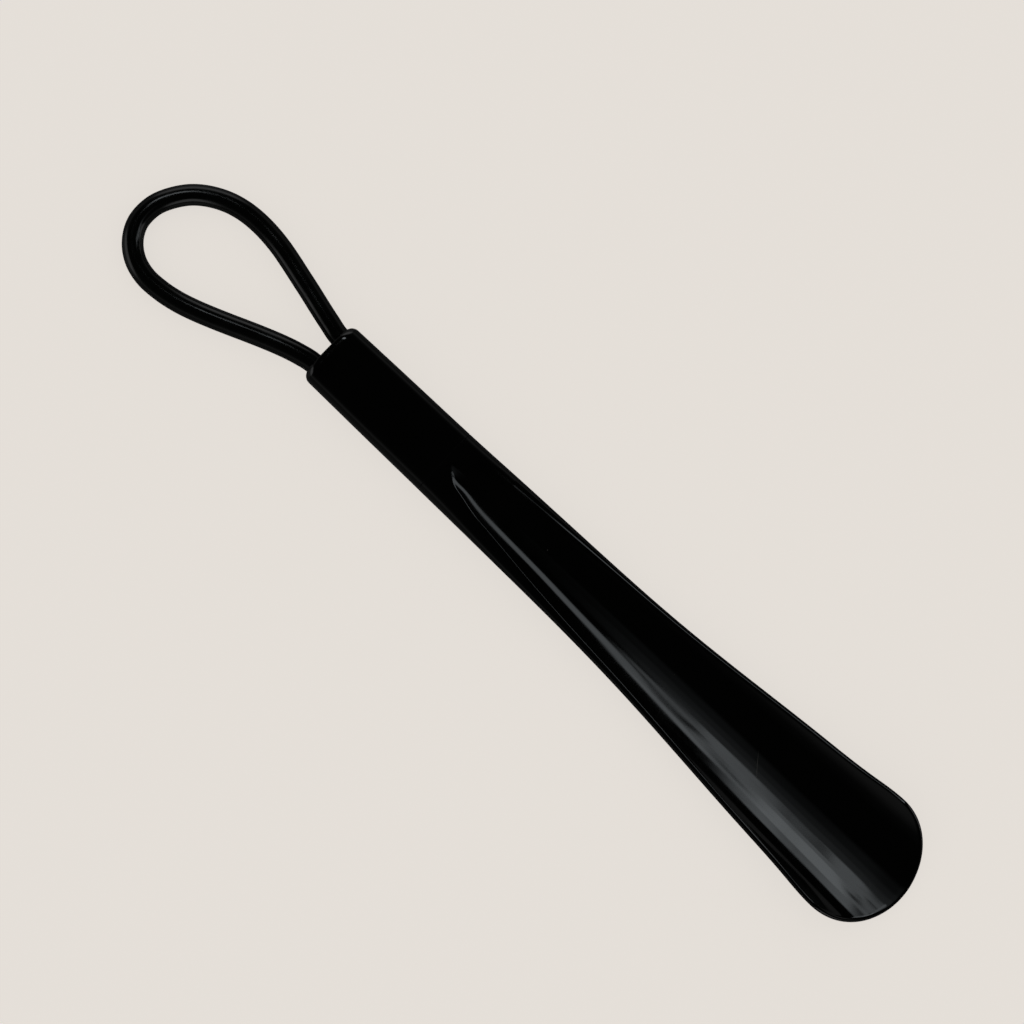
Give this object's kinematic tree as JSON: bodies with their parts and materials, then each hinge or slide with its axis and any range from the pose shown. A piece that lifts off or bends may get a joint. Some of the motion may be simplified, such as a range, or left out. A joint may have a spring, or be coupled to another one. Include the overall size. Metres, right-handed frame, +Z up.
{
  "type": "long shoehorn",
  "caption": "Long plastic shoehorn: a narrow closed handle that opens into a widening heel trough with a rounded tip, and a soft cord loop for hanging.",
  "frame": {"origin": "under the middle of the horn, on the surface that it lies on", "axes": "+X along the horn towards the blade's tip, +Z up out of the heel trough"},
  "size_m": [0.3496, 0.0518, 0.0124],
  "materials": {
    "black_plastic": "gloss",
    "soft_cord": "satin",
    "stop_metal": "satin"
  },
  "bodies": {
    "horn": {"horn": "black_plastic", "handle_cover": "black_plastic", "cord_stop_left": "stop_metal", "cord_stop_right": "stop_metal", "loop_ends": "soft_cord"},
    "loop": {"loop_roots": "soft_cord", "loop_bow": "soft_cord"}
  },
  "joints": [
    {"name": "loop_flex", "type": "hinge", "parent": "horn", "child": "loop", "pos_m": [-0.1465, 0, 0.0057], "axis": [0, 1, 0], "range_deg": [0, 70], "stiffness_Nm_per_rad": 0.1, "deforming": ["loop_roots"]}
  ]
}
